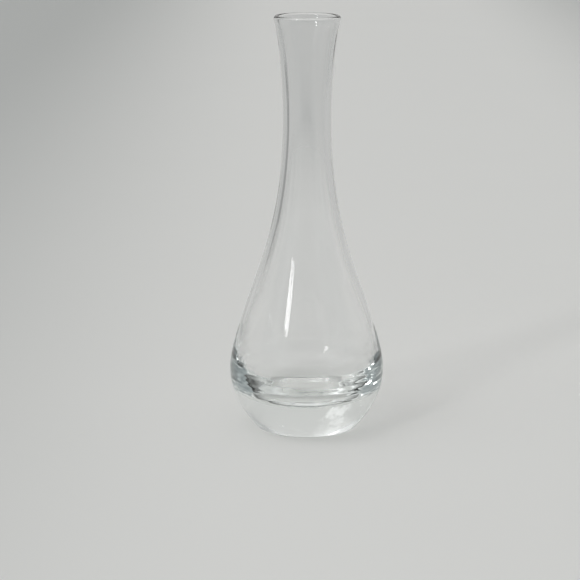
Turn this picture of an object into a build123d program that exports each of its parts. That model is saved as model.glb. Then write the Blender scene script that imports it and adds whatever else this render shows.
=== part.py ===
from build123d import *
import os

# Clear glass bud vase: one piece of blown glass with a teardrop body and a heavy solid base.
#
# The vase stands on +Z with its origin at the centre of the foot, and everything is turned about Z.
# Lengths are millimetres. Half the cross-section is drawn flat as (radius, height), stood upright and
# turned once. The outer skin and the bore are two smooth curves, joined by the ground foot below and
# by the flame-polished lip above.

# --- driving dimensions -------------------------------------------------------------------------
HEIGHT = 200.0  # foot to the top of the lip

FOOT_D = 46.8  # outer edge of the flat ring that the vase stands on
HEEL_RADIUS = 3.0  # softened edge between the foot and the outer skin
HEEL_ANGLE = 50.0  # how steeply the outer skin leaves the heel, in degrees
DISH_D = 33.0  # polished hollow in the middle of the underside
DISH_DEPTH = 2.2

BELLY_D = 75.0  # widest place
BELLY_Z = 28.7
THROAT_D = 22.8  # narrowest place of the neck
THROAT_Z = 152.0
LIP_D = 31.6  # outside of the mouth
LIP_WALL = 2.3  # glass at the mouth, rounded by the flame
FLARE_ANGLE = 77.0  # how steeply the neck runs into the lip, in degrees

FLOOR_Z = 15.2  # bottom of the bore, above the solid base
NECK_WALL = 2.65  # measured square to the axis, as are the other walls
BODY_WALL = 3.0
SHOULDER_WALL = 2.6

# Outer skin between the driving places, as (radius, height).
BOWL = (33.3, 12.0)
SHOULDER = (35.3, 42.0)
UPPER_BODY = (26.9, 68.0)
LOWER_NECK = (18.05, 96.0)
NECK = (12.95, 124.0)
FLARE = (12.6, 177.0)

# Bore below the shoulder, as (radius, height): a rounded floor that runs up into the walls.
FLOOR_RIM = (18.0, 17.6)
FLOOR_CORNER = (28.6, 23.0)
BORE_BELLY = (33.2, 31.0)


def inside(place, wall):
    """The bore's place across the wall from a place on the outer skin."""
    return (place[0] - wall, place[1])


def skin(places, first_way, last_way):
    """A smooth curve through places, which starts and ends along the two ways."""
    return Spline(*places, tangents=[first_way, last_way], tangent_scalars=[1, 1])


def half_section():
    """Half the vase's cross-section, as a flat face of (radius, height)."""
    throat = (THROAT_D / 2, THROAT_Z)
    lip_outside = (LIP_D / 2, HEIGHT - LIP_WALL / 2)
    lip_inside = inside(lip_outside, LIP_WALL)
    lip_top = (LIP_D / 2 - LIP_WALL / 2, HEIGHT)
    flare_way = Vector(1, 0).rotate(Axis.Z, FLARE_ANGLE)

    heel = JernArc((FOOT_D / 2, 0), tangent=(1, 0), radius=HEEL_RADIUS, arc_size=HEEL_ANGLE)
    outer_places = [heel @ 1, BOWL, (BELLY_D / 2, BELLY_Z), SHOULDER]
    outer_places += [UPPER_BODY, LOWER_NECK, NECK, throat, FLARE, lip_outside]
    outer = skin(outer_places, heel % 1, flare_way)
    lip = ThreePointArc(lip_outside, lip_top, lip_inside)

    bore_places = [(0, FLOOR_Z), FLOOR_RIM, FLOOR_CORNER, BORE_BELLY]
    bore_places += [inside(SHOULDER, SHOULDER_WALL), inside(UPPER_BODY, BODY_WALL)]
    bore_places += [inside(LOWER_NECK, BODY_WALL), inside(NECK, NECK_WALL)]
    bore_places += [inside(throat, NECK_WALL), inside(FLARE, NECK_WALL), lip_inside]
    bore = skin(bore_places, (1, 0), flare_way)

    axis_line = Line((0, FLOOR_Z), (0, DISH_DEPTH))
    dish = TangentArc((0, DISH_DEPTH), (DISH_D / 2, 0), tangent=(1, 0))
    foot = Line((DISH_D / 2, 0), (FOOT_D / 2, 0))
    return make_face([heel, outer, lip, bore, axis_line, dish, foot])


def glass_vase():
    """The whole vase: half the cross-section, stood upright and turned about Z."""
    return revolve(Plane.XZ * half_section(), Axis.Z, 360)


vase = glass_vase()
print("vase volume mm3", round(vase.volume))
os.makedirs("parts", exist_ok=True)
export_step(vase, "parts/glass_vase.step")
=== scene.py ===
import math

import bpy
import numpy as np
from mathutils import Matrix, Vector


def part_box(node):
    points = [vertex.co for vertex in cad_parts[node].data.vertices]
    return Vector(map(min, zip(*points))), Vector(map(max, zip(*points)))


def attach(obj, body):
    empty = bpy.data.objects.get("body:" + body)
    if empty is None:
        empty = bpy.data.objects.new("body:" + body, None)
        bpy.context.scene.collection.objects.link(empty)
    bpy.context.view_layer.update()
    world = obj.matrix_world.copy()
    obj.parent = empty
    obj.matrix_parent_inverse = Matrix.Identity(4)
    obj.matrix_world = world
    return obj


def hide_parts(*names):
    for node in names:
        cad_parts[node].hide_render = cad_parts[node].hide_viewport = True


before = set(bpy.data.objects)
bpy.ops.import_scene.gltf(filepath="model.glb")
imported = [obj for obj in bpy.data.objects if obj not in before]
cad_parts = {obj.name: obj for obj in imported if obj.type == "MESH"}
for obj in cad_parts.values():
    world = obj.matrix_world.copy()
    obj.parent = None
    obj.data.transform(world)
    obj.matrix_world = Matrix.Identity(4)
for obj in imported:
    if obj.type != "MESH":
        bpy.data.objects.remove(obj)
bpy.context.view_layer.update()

# A blown clear glass bud vase on a pale sheet, in metres, with +Z up and the foot at the origin.
#
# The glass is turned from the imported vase's own outline, and then made a little uneven, as blowing
# leaves it: the wall runs thick and thin, and the floor of the bore is rippled where it chilled.
# Clear glass shows what stands round it, so the studio has soft light and dark places all round that
# only the glass and the sheet see. To the camera the sheet runs on, and what is past it is plain.

MM = 0.001
vase_low, vase_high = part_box("glass_vase")
HEIGHT = vase_high.z - vase_low.z

# --- Sizes: the glass -----------------------------------------------------------------------------

HAIR = 0.001 * MM  # places nearer than this are one place
AROUND = 240  # facets round the vase
ROW_STEP = 1.75 * MM  # longest facet along the outline
ROW_TURN = math.radians(4.0)  # sharpest turn from one row to the next
ROW_CHOICE = 12000  # places along the outline that the rows are chosen from
MIRRORED_ENDS = 3  # places mirrored past each end of the outline, so that it crosses the axis level

# How blowing leaves the glass uneven. Each is a seed, how many waves run round the vase, how long the
# waves are along it, and how high they stand.
OUT_OF_ROUND = (11, (2, 3), (350 * MM, 600 * MM), 0.05 * MM)
DRAWN_OUTSIDE = (12, (5, 9, 14), (500 * MM, 900 * MM), 0.012 * MM)
LEANING_BORE = (21, (1,), (450 * MM,), 0.12 * MM)
DRAWN_BORE = (22, (6, 11, 17, 26), (400 * MM, 800 * MM), 0.022 * MM)
CHILLED_CORNER = (23, (0, 1, 2, 3, 5), (2.6 * MM, 3.7 * MM, 5.3 * MM, 8.1 * MM), 0.085 * MM)
POLISHED_HOLLOW = (31, (1, 2, 4), (6 * MM, 11 * MM), 0.015 * MM)

# Where the unevenness comes in and dies away, as (start, end).
OFF_AXIS = (2 * MM, 12 * MM)  # radius: none on the axis
ABOVE_FOOT = (1 * MM, 9 * MM)  # height: none at the ground foot
UP_TO_LIP = (HEIGHT - 12 * MM, HEIGHT - 2 * MM)  # height: the flame has evened out the lip
INTO_CORNER = (16.5 * MM, 20 * MM)  # height: the bore's chilled corner begins
OUT_OF_CORNER = (30 * MM, 44 * MM)  # height: and ends
HOLLOW_EDGE = (13 * MM, 16 * MM)  # radius of the hollow in the underside
HOLLOW_TOP = 3 * MM  # the hollow lies lower than this

# --- Sizes: the glass's finish --------------------------------------------------------------------

GLASS_INDEX = 1.5
GLASS_DEPTH_COLOUR = (0.87, 0.95, 0.92)
GLASS_DEPTH_STRENGTH = 5.0

# Each of these is laid on by a random cloud: its lumps to the metre and its finer layers, then the two
# cloud levels between which it changes, and the values that it changes from and to.
FOOT_SCUFFS = ((900.0, 4.0), (0.35, 0.65, 0.35, 0.6))
HANDLING_MARKS = ((38.0, 5.0), (0.56, 0.74, 0.0, 0.018))

FOOT_RING = (20.4 * MM, 3.9 * MM, 0.8 * MM)  # middle radius, half width and soft edge of the ground foot
FOOT_FACE = (0.0, 0.5 * MM, 0.2 * MM)  # its height, how far up it reaches and its soft edge

DRAWN_LINES = (330.0, 2.0)  # lumps to the metre and finer layers
DRAWN_LINES_STRETCH = 0.035  # run of the lines' cloud along Z, as a share of its run across
DRAWN_LINES_DEPTH = 0.005 * MM

# --- Sizes: the sheet -----------------------------------------------------------------------------

SHEET_EXTENT = 9.0
SHEET_GAP = 0.15 * MM  # between the foot and the sheet
SHEET_COLOUR = (0.80, 0.80, 0.782)
SHEET_CLOUD = (0.815, 0.815, 0.797)
SHEET_CLOUD_GRAIN = (6.0, 6.0)  # lumps to the metre and finer layers
# Painted shade: the colour that the sheet is darkened to on both sides of the pale strip, standing in
# for light falling off
SHEET_PAINTED_SHADE = (0.53, 0.54, 0.53)
SHEET_ROUGHNESS = 0.9
SHEET_SPECULAR = 0.2
STRIP_FREE_OF_PAINTED_SHADE = (0.12, 0.31, 0.18)  # x at its middle, half width and soft edge of the fully pale strip; outside it the sheet's colour is painted darker as painted shade
SHEET_REACH = (0.5, 1.0)  # seen in the glass, the sheet gives way to the room between these

# --- Sizes: light, room and camera ----------------------------------------------------------------

SURROUND = (0.60, 0.60, 0.588)
OVERHEAD = (0.77, 0.77, 0.77)
OVERHEAD_PLACE = (90, 38, 16)  # degrees above the horizon, half height and soft edge
ROOM_DARK = (0.155, 0.18, 0.192)
ROOM_LIGHT = (0.43, 0.46, 0.467)

# What stands round the vase, in degrees and then a colour. Each one is centred so far round from
# straight behind the vase, clockwise seen from above, with half its width; it is centred so far above
# the horizon, with half its height; and then come its soft edge and its colour. The front room has no
# colour of its own: it is a clutter of the room's dark and light. Each one hides those before it.
SURROUNDINGS = {
    "front_room": (180, 84, 10, 30, 14, None),
    "left_wall": (-114, 32, 64, 26, 8, (1.75, 1.75, 1.75)),
    "wall_in_half_light": (-82, 18, 42, 13, 7, (1.00, 1.00, 1.00)),
    "right_wall": (66, 22, 41, 13, 10, (0.44, 0.445, 0.45)),
    "window_behind": (-19, 6, 12.5, 3.4, 3, (0.83, 0.83, 0.82)),
    "pane_over_it": (-22, 5, 22.5, 3, 3, (0.76, 0.76, 0.75)),
    "top_pane": (-22, 6, 34, 3.5, 3, (0.76, 0.76, 0.75)),
    "beyond_the_sheet_behind": (0, 45, -14, 14, 8, (0.50, 0.505, 0.495)),
    "beyond_the_sheet_left": (-90, 45, -14, 14, 10, (0.50, 0.505, 0.50)),
    "beyond_the_sheet_right": (90, 45, -14, 14, 10, (0.50, 0.505, 0.50)),
    "dark_opening": (-52, 9, -6, 9, 4, (0.27, 0.275, 0.27)),
    "dark_doorway": (180, 26, 4, 24, 10, (0.10, 0.118, 0.126)),
}

# Random clouds over all the ways to look, given in the same form as the foot's scuffs: how many degrees
# the edges wander round and up, and how much of the clutter is light.
WANDER_ROUND = ((9.0, 2.0), (0.3, 0.7, -6.0, 6.0))
WANDER_UP = ((13.0, 2.0), (0.3, 0.7, -4.0, 4.0))
CLUTTER = ((5.5, 2.0), (0.40, 0.64, 0.0, 1.0))

WINDOW_ROUND, WINDOW_RISE = -140.5, 29.3  # degrees round and above the horizon, as above
WINDOW_DISTANCE = 2.4
WINDOW_WIDTH, WINDOW_HEIGHT = 0.23, 0.87
WINDOW_RADIANCE = 11.0
WINDOW_AIM = Vector((0, 0, HEIGHT / 3))  # the place on the vase that it faces

VIEW_FROM = Vector((-8.1 * MM, -906.0 * MM, 285.7 * MM))
VIEW_DOWN = math.radians(13.55)
VIEW_NEAREST = 10 * MM
LENS = 119.1
SENSOR = 36.0

GLASS_BOUNCES = 32  # light is turned back many times inside the heavy base
GLOSSY_BOUNCES = 16


def placed(name, data):
    """A new object in the scene that holds data."""
    thing = bpy.data.objects.new(name, data)
    bpy.context.scene.collection.objects.link(thing)
    return thing


# --- The glass ------------------------------------------------------------------------------------


def seam_outline(node):
    """Half the turned section as (radius, height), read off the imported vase's seam at angle 0.

    It runs from the middle of the underside, over the outer skin and the lip, and down the bore.
    """
    seam = {}
    for vertex in node.data.vertices:
        if abs(vertex.co.y) < HAIR and vertex.co.x > -HAIR:
            seam[vertex.index] = (round(vertex.co.x, 7), round(vertex.co.z, 7))
    beside = {}
    for edge in node.data.edges:
        first, second = edge.vertices
        if first in seam and second in seam and seam[first] != seam[second]:
            beside.setdefault(seam[first], []).append(seam[second])
            beside.setdefault(seam[second], []).append(seam[first])
    here = min(beside)
    outline = [here]
    while here is not None:
        ahead = [place for place in beside[here] if place not in outline]
        here = ahead[0] if ahead else None
        if here:
            outline.append(here)
    return np.array(outline)


def smooth_curve(reach, values, at):
    """values along reach, carried to the places at by a cubic that bends evenly through them all."""
    gap = np.diff(reach)
    slope = np.diff(values) / gap
    count = len(reach)
    system = np.eye(count)
    wanted = np.zeros(count)
    for i in range(1, count - 1):
        system[i, i - 1 : i + 2] = (gap[i - 1], 2 * (gap[i - 1] + gap[i]), gap[i])
        wanted[i] = 6 * (slope[i] - slope[i - 1])
    bend = np.linalg.solve(system, wanted)
    span = np.clip(np.searchsorted(reach, at) - 1, 0, count - 2)
    t = at - reach[span]
    rise = slope[span] - gap[span] * (2 * bend[span] + bend[span + 1]) / 6
    jerk = (bend[span + 1] - bend[span]) / gap[span]
    return values[span] + t * (rise + t * (bend[span] / 2 + t * jerk / 6))


def run_along(places):
    """How far each place is from the first, along the line through them all."""
    return np.concatenate([[0.0], np.cumsum(np.hypot(*np.diff(places, axis=0).T))])


def rows_along(outline):
    """The outline again, as places close enough to turn smooth glass, closest where it curves."""
    ends = MIRRORED_ENDS
    mirror = np.array([-1.0, 1.0])
    before, after = outline[ends:0:-1] * mirror, outline[-2 : -2 - ends : -1] * mirror
    places = np.vstack([before, outline, after])
    reach = run_along(places)
    fine = np.linspace(reach[ends], reach[-1 - ends], ROW_CHOICE)
    radius, height = (smooth_curve(reach, places[:, i], fine) for i in (0, 1))
    step = np.hypot(np.diff(radius), np.diff(height))
    way = np.unwrap(np.arctan2(np.diff(height), np.diff(radius)))
    turn = np.abs(np.diff(way, prepend=way[0]))
    effort = np.concatenate([[0.0], np.cumsum(step / ROW_STEP + turn / ROW_TURN)])
    rows = np.linspace(0.0, effort[-1], int(effort[-1]))
    at = np.interp(rows, effort, fine)
    return smooth_curve(reach, places[:, 0], at), smooth_curve(reach, places[:, 1], at)


def eased(value, start, end):
    """0 before start, 1 after end, and a soft step between."""
    t = np.clip((value - start) / (end - start), 0.0, 1.0)
    return t * t * (3 - 2 * t)


def waves(angle, along, seed, turns, lengths, size):
    """Soft unevenness over a turned surface: sine waves round it and along it, drawn from seed."""
    draw = np.random.default_rng(seed)
    total = np.zeros(np.broadcast(angle, along).shape)
    for turn in turns:
        for length in lengths:
            phase, lean = draw.uniform(0, 2 * math.pi, 2)
            share = draw.uniform(0.5, 1.0)
            total += share * np.sin(turn * angle + phase + 2 * math.pi * along / length + lean)
    return size * total / math.sqrt(len(turns) * len(lengths))


def unevenness(radius, height, reach, angle, in_bore):
    """How far the blown surface stands off the true outline, outwards, over every row and angle."""
    off_axis = eased(radius, *OFF_AXIS)
    below_lip = 1 - eased(height, *UP_TO_LIP)
    in_corner = eased(height, *INTO_CORNER) * (1 - eased(height, *OUT_OF_CORNER))
    in_hollow = (1 - eased(radius, *HOLLOW_EDGE)) * (height < HOLLOW_TOP)

    outside = waves(angle, height, *OUT_OF_ROUND) + waves(angle, height, *DRAWN_OUTSIDE)
    outside *= eased(height, *ABOVE_FOOT) * below_lip
    underside = waves(angle, radius, *POLISHED_HOLLOW) * off_axis * in_hollow

    bore = waves(angle, height, *LEANING_BORE) + waves(angle, height, *DRAWN_BORE)
    bore += waves(angle, reach, *CHILLED_CORNER) * in_corner
    return np.where(in_bore, bore * below_lip * off_axis, outside + underside)


def turned_glass(name, node):
    """The vase as one closed skin of glass, turned from the node's outline and blown a little uneven."""
    radius, height = rows_along(seam_outline(node))
    height = np.maximum(height, vase_low.z)
    along = np.gradient(np.column_stack([radius, height]), axis=0)
    along /= np.linalg.norm(along, axis=1)[:, None]
    outward = np.column_stack([along[:, 1], -along[:, 0]])
    reach = run_along(np.column_stack([radius, height]))
    lip = int(np.argmax(height))
    in_bore = (np.arange(len(radius)) > lip)[:, None]

    angle = np.linspace(0, 2 * math.pi, AROUND, endpoint=False)[None, :]
    stand = unevenness(radius[:, None], height[:, None], reach[:, None], angle, in_bore)
    rim = radius[:, None] + stand * outward[:, :1]
    rise = height[:, None] + stand * outward[:, 1:]

    verts = [(0.0, 0.0, height[0])]
    for ring, level in zip(rim[1:-1], rise[1:-1]):
        verts += list(zip(ring * np.cos(angle[0]), ring * np.sin(angle[0]), level))
    verts.append((0.0, 0.0, height[-1]))

    faces = []
    rings = len(radius) - 2
    last = 1 + (rings - 1) * AROUND
    for j in range(AROUND):
        k = (j + 1) % AROUND
        faces.append((0, 1 + k, 1 + j))
        faces.append((last + j, last + k, len(verts) - 1))
        for i in range(rings - 1):
            low, high = 1 + i * AROUND, 1 + (i + 1) * AROUND
            faces.append((low + j, low + k, high + k, high + j))
    mesh = bpy.data.meshes.new(name)
    mesh.from_pydata(verts, [], faces)
    mesh.shade_smooth()
    return placed(name, mesh)


# --- Materials ------------------------------------------------------------------------------------


def fed(tree, socket, value):
    """Feeds a socket from another node, or sets it to a plain number or colour."""
    if isinstance(value, bpy.types.NodeSocket):
        tree.links.new(value, socket)
    else:
        socket.default_value = (*value, 1) if isinstance(value, tuple) else value


def math_node(tree, operation, *values):
    """One sum in a node tree."""
    node = tree.nodes.new("ShaderNodeMath")
    node.operation = operation
    for socket, value in zip(node.inputs, values):
        fed(tree, socket, value)
    return node.outputs["Value"]


def length_of(tree, vector):
    """How long a vector is."""
    node = tree.nodes.new("ShaderNodeVectorMath")
    node.operation = "LENGTH"
    tree.links.new(vector, node.inputs["Vector"])
    return node.outputs["Value"]


def stretched(tree, vector, along_z):
    """The vector with its Z run multiplied, so that a pattern on it is drawn out or squeezed up."""
    node = tree.nodes.new("ShaderNodeVectorMath")
    node.operation = "MULTIPLY"
    tree.links.new(vector, node.inputs[0])
    node.inputs[1].default_value = (1.0, 1.0, along_z)
    return node.outputs["Vector"]


def axes_of(tree, vector):
    """The X, Y and Z of a vector."""
    node = tree.nodes.new("ShaderNodeSeparateXYZ")
    tree.links.new(vector, node.inputs["Vector"])
    return tuple(node.outputs[axis] for axis in "XYZ")


def stepped(tree, value, start, end, low, high):
    """low where value is under start, high where it is over end, and even steps between."""
    step = tree.nodes.new("ShaderNodeMapRange")
    tree.links.new(value, step.inputs["Value"])
    for socket, number in (("From Min", start), ("From Max", end), ("To Min", low), ("To Max", high)):
        step.inputs[socket].default_value = number
    return step.outputs["Result"]


def softly_within(tree, value, centre, half, soft):
    """1 where value is within half of centre, and 0 further out than half and the soft edge."""
    off = math_node(tree, "ABSOLUTE", math_node(tree, "SUBTRACT", value, centre))
    within = stepped(tree, off, half + soft, half - soft, 0.0, 1.0)
    within.node.interpolation_type = "SMOOTHSTEP"
    return within


def cloud(tree, vector, lumps, layers):
    """A soft random cloud from 0 to 1, with so many lumps to each unit and so many finer layers."""
    node = tree.nodes.new("ShaderNodeTexNoise")
    tree.links.new(vector, node.inputs["Vector"])
    node.inputs["Scale"].default_value = lumps
    node.inputs["Detail"].default_value = layers
    return node.outputs["Fac"]


def laid_on(tree, vector, grain, levels):
    """A value that changes over the surface between two levels of a cloud."""
    return stepped(tree, cloud(tree, vector, *grain), *levels)


def mixed_colour(tree, share, under, over):
    """Colour over laid on colour under by its share."""
    mix = tree.nodes.new("ShaderNodeMix")
    mix.data_type = "RGBA"
    tree.links.new(share, mix.inputs["Factor"])
    fed(tree, mix.inputs["A"], under)
    fed(tree, mix.inputs["B"], over)
    return mix.outputs["Result"]


def new_material(name):
    """An empty material, its node tree and its output."""
    material = bpy.data.materials.new(name)
    material.use_nodes = True
    tree = material.node_tree
    tree.nodes.clear()
    return material, tree, tree.nodes.new("ShaderNodeOutputMaterial")


def clear_glass():
    """Polished soda-lime glass: grey-green in its depth, drawn lines, handling marks and a worn foot."""
    material, tree, out = new_material("clear_glass")
    glass = tree.nodes.new("ShaderNodeBsdfPrincipled")
    glass.inputs["Base Color"].default_value = (1, 1, 1, 1)
    glass.inputs["Metallic"].default_value = 0.0
    glass.inputs["Transmission Weight"].default_value = 1.0
    glass.inputs["IOR"].default_value = GLASS_INDEX

    place = tree.nodes.new("ShaderNodeTexCoord").outputs["Object"]
    from_axis = length_of(tree, stretched(tree, place, 0.0))
    _, _, height = axes_of(tree, place)
    on_foot = softly_within(tree, height, *FOOT_FACE)
    on_ring = softly_within(tree, from_axis, *FOOT_RING)
    scuffs = laid_on(tree, place, *FOOT_SCUFFS)
    wear = math_node(tree, "MULTIPLY", math_node(tree, "MULTIPLY", on_foot, on_ring), scuffs)
    marks = laid_on(tree, place, *HANDLING_MARKS)
    tree.links.new(math_node(tree, "ADD", wear, marks), glass.inputs["Roughness"])

    bump = tree.nodes.new("ShaderNodeBump")
    bump.inputs["Strength"].default_value = 1.0
    bump.inputs["Distance"].default_value = DRAWN_LINES_DEPTH
    lines = cloud(tree, stretched(tree, place, DRAWN_LINES_STRETCH), *DRAWN_LINES)
    tree.links.new(lines, bump.inputs["Height"])
    tree.links.new(bump.outputs["Normal"], glass.inputs["Normal"])

    depth = tree.nodes.new("ShaderNodeVolumeAbsorption")
    depth.inputs["Color"].default_value = (*GLASS_DEPTH_COLOUR, 1)
    depth.inputs["Density"].default_value = GLASS_DEPTH_STRENGTH
    tree.links.new(glass.outputs["BSDF"], out.inputs["Surface"])
    tree.links.new(depth.outputs["Volume"], out.inputs["Volume"])
    return material


def pale_sheet():
    """The matt sheet that the vase stands on: pale in a strip, and darker on both sides of it by painted
    shade in its colour.

    The camera sees it run on for ever, and the glass sees it end where the room begins.
    """
    material, tree, out = new_material("pale_sheet")
    sheet = tree.nodes.new("ShaderNodeBsdfPrincipled")
    sheet.inputs["Roughness"].default_value = SHEET_ROUGHNESS
    sheet.inputs["Specular IOR Level"].default_value = SHEET_SPECULAR

    place = tree.nodes.new("ShaderNodeTexCoord").outputs["Object"]
    tone = mixed_colour(tree, cloud(tree, place, *SHEET_CLOUD_GRAIN), SHEET_COLOUR, SHEET_CLOUD)
    x, _, _ = axes_of(tree, place)
    # Painted shade: away from this strip in x, the sheet's colour is mixed towards the darker
    # painted-shade colour
    free_of_painted_shade = softly_within(tree, x, *STRIP_FREE_OF_PAINTED_SHADE)
    tree.links.new(mixed_colour(tree, free_of_painted_shade, SHEET_PAINTED_SHADE, tone), sheet.inputs["Base Color"])

    beyond = stepped(tree, length_of(tree, place), *SHEET_REACH, 0.0, 1.0)
    to_camera = tree.nodes.new("ShaderNodeLightPath").outputs["Is Camera Ray"]
    unseen = math_node(tree, "SUBTRACT", 1.0, to_camera)
    choose = tree.nodes.new("ShaderNodeMixShader")
    tree.links.new(math_node(tree, "MULTIPLY", beyond, unseen), choose.inputs["Fac"])
    tree.links.new(sheet.outputs["BSDF"], choose.inputs[1])
    tree.links.new(tree.nodes.new("ShaderNodeBsdfTransparent").outputs["BSDF"], choose.inputs[2])
    tree.links.new(choose.outputs["Shader"], out.inputs["Surface"])
    return material


# --- Studio ---------------------------------------------------------------------------------------


def floor():
    """A wide flat sheet just under the foot."""
    far, level = SHEET_EXTENT, vase_low.z - SHEET_GAP
    corners = [(-far, -far, level), (far, -far, level), (far, far, level), (-far, far, level)]
    mesh = bpy.data.meshes.new("floor_sheet")
    mesh.from_pydata(corners, [], [(0, 1, 2, 3)])
    mesh.materials.append(pale_sheet())
    placed("floor_sheet", mesh)


def surroundings():
    """Soft light from all round: a pale room, darker in front, that the camera itself sees as plain."""
    world = bpy.data.worlds.new("studio")
    bpy.context.scene.world = world
    world.use_nodes = True
    tree = world.node_tree
    way = tree.nodes.new("ShaderNodeTexCoord").outputs["Generated"]
    x, y, z = axes_of(tree, way)
    round_way = math_node(tree, "DEGREES", math_node(tree, "ARCTAN2", x, y))
    rise = math_node(tree, "DEGREES", math_node(tree, "ARCSINE", z))
    round_way = math_node(tree, "ADD", round_way, laid_on(tree, way, *WANDER_ROUND))
    rise = math_node(tree, "ADD", rise, laid_on(tree, way, *WANDER_UP))

    clutter = mixed_colour(tree, laid_on(tree, way, *CLUTTER), ROOM_DARK, ROOM_LIGHT)
    colour = mixed_colour(tree, softly_within(tree, rise, *OVERHEAD_PLACE), SURROUND, OVERHEAD)
    for name, (centre, half_width, middle, half_height, soft, shade) in SURROUNDINGS.items():
        apart = math_node(tree, "WRAP", math_node(tree, "SUBTRACT", round_way, centre), 180, -180)
        across = softly_within(tree, apart, 0, half_width, soft)
        up = softly_within(tree, rise, middle, half_height, soft)
        colour = mixed_colour(tree, math_node(tree, "MULTIPLY", across, up), colour, shade or clutter)
        colour.node.label = name
    to_camera = tree.nodes.new("ShaderNodeLightPath").outputs["Is Camera Ray"]
    colour = mixed_colour(tree, to_camera, colour, SURROUND)
    tree.links.new(colour, tree.nodes["Background"].inputs["Color"])


def direction(round_way, rise):
    """The unit vector so many degrees round from straight behind the vase and above the horizon."""
    turn, lift = math.radians(round_way), math.radians(rise)
    level = math.cos(lift)
    return Vector((math.sin(turn) * level, math.cos(turn) * level, math.sin(lift)))


def window():
    """A tall bright window, high and to the left behind the camera."""
    light = bpy.data.lights.new("window", "AREA")
    light.shape = "ELLIPSE"
    light.size, light.size_y = WINDOW_WIDTH, WINDOW_HEIGHT
    area = math.pi / 4 * WINDOW_WIDTH * WINDOW_HEIGHT
    light.energy = WINDOW_RADIANCE * math.pi * area
    way = direction(WINDOW_ROUND, WINDOW_RISE)
    lamp = placed("window", light)
    lamp.location = WINDOW_AIM + way * WINDOW_DISTANCE
    lamp.rotation_euler = way.to_track_quat("Z", "Y").to_euler()
    lamp.visible_camera = False


def camera():
    """The camera, a little above the vase and looking slightly down."""
    data = bpy.data.cameras.new("camera")
    data.lens = LENS
    data.sensor_width = SENSOR
    data.clip_start = VIEW_NEAREST
    viewer = placed("camera", data)
    viewer.location = VIEW_FROM
    viewer.rotation_euler = (math.pi / 2 - VIEW_DOWN, 0, 0)
    bpy.context.scene.camera = viewer


# --- The whole scene ------------------------------------------------------------------------------

camera()
floor()
surroundings()
window()

vase = turned_glass("blown_vase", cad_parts["glass_vase"])
vase.data.materials.append(clear_glass())
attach(vase, "root")
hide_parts("glass_vase")

scene = bpy.context.scene
scene.view_settings.view_transform = "Standard"
scene.cycles.max_bounces = GLASS_BOUNCES
scene.cycles.transmission_bounces = GLASS_BOUNCES
scene.cycles.glossy_bounces = GLOSSY_BOUNCES
scene.cycles.blur_glossy = 0.0  # keeps the light that reaches the sheet through the glass
